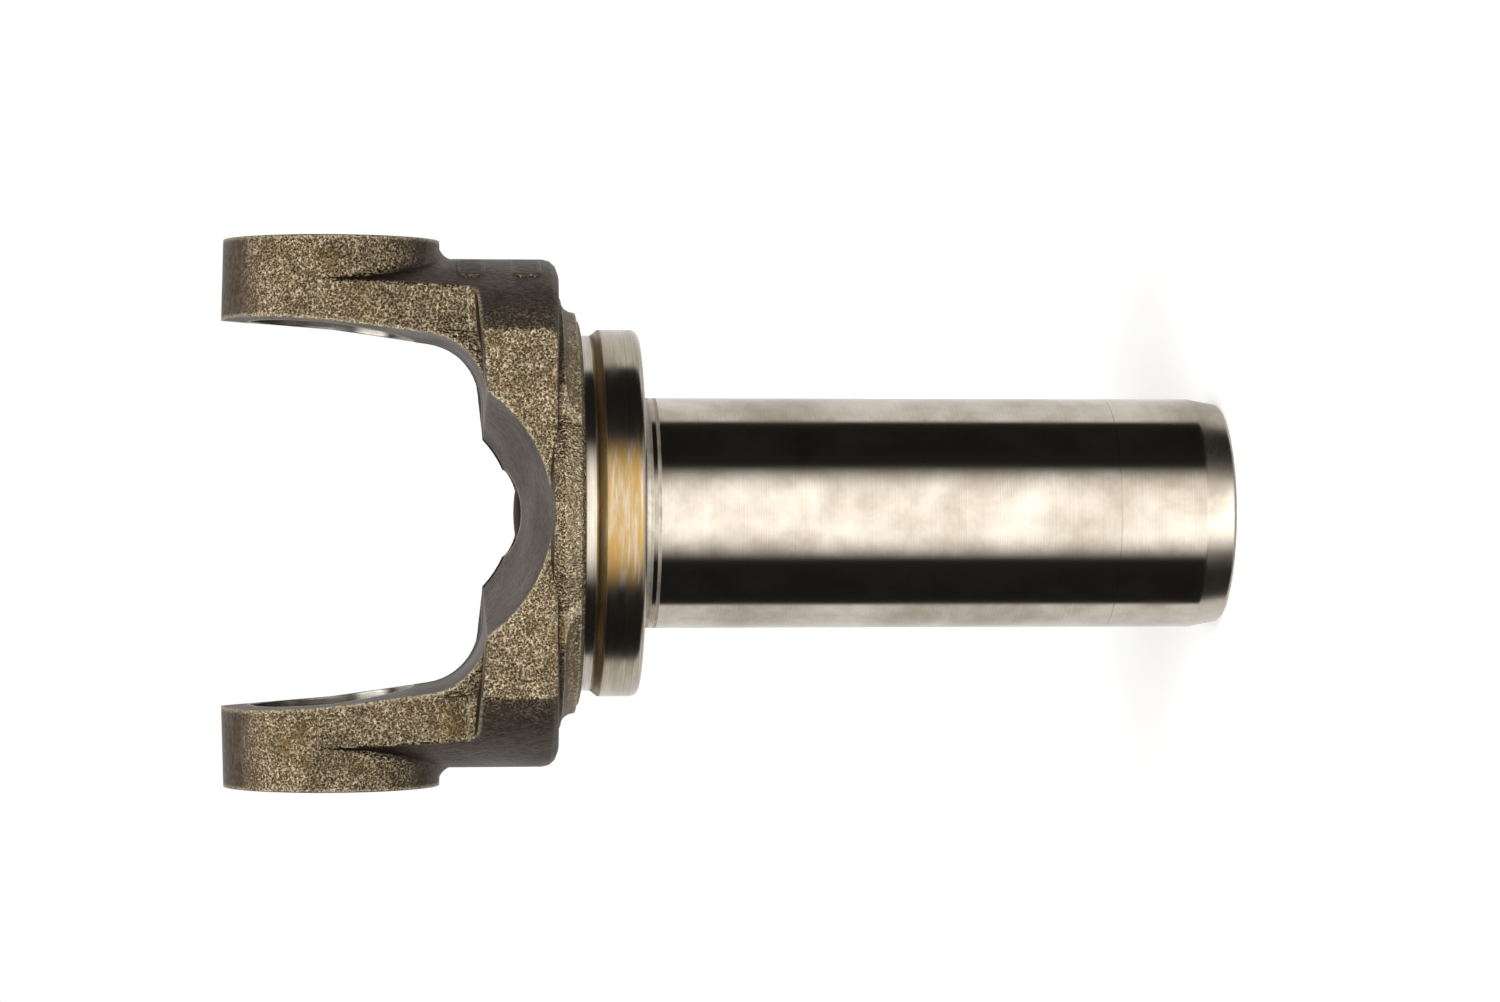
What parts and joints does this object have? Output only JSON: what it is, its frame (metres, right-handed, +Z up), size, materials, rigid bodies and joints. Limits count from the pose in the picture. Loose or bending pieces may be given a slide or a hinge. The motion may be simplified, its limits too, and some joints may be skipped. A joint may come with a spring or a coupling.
{
  "type": "slip yoke",
  "caption": "Forged steel slip yoke: a two-eared fork with a cross bore, a machined collar and a ground tubular barrel with an internal spline.",
  "frame": {"origin": "centre of the barrel's end face, on the shaft axis", "axes": "+Z up the shaft axis from the barrel end to the fork, +X along the cross bore through both ears, +Y square to both, the way the forging dies close"},
  "size_m": [0.0896, 0.0662, 0.1657],
  "materials": {
    "forged_steel": "shot blasted forging, turned at the collar and ground on the barrel",
    "plug_steel": "pressed sheet steel"
  },
  "bodies": {
    "root": {"forged_yoke": "forged_steel", "expansion_plug": "plug_steel"}
  },
  "joints": []
}
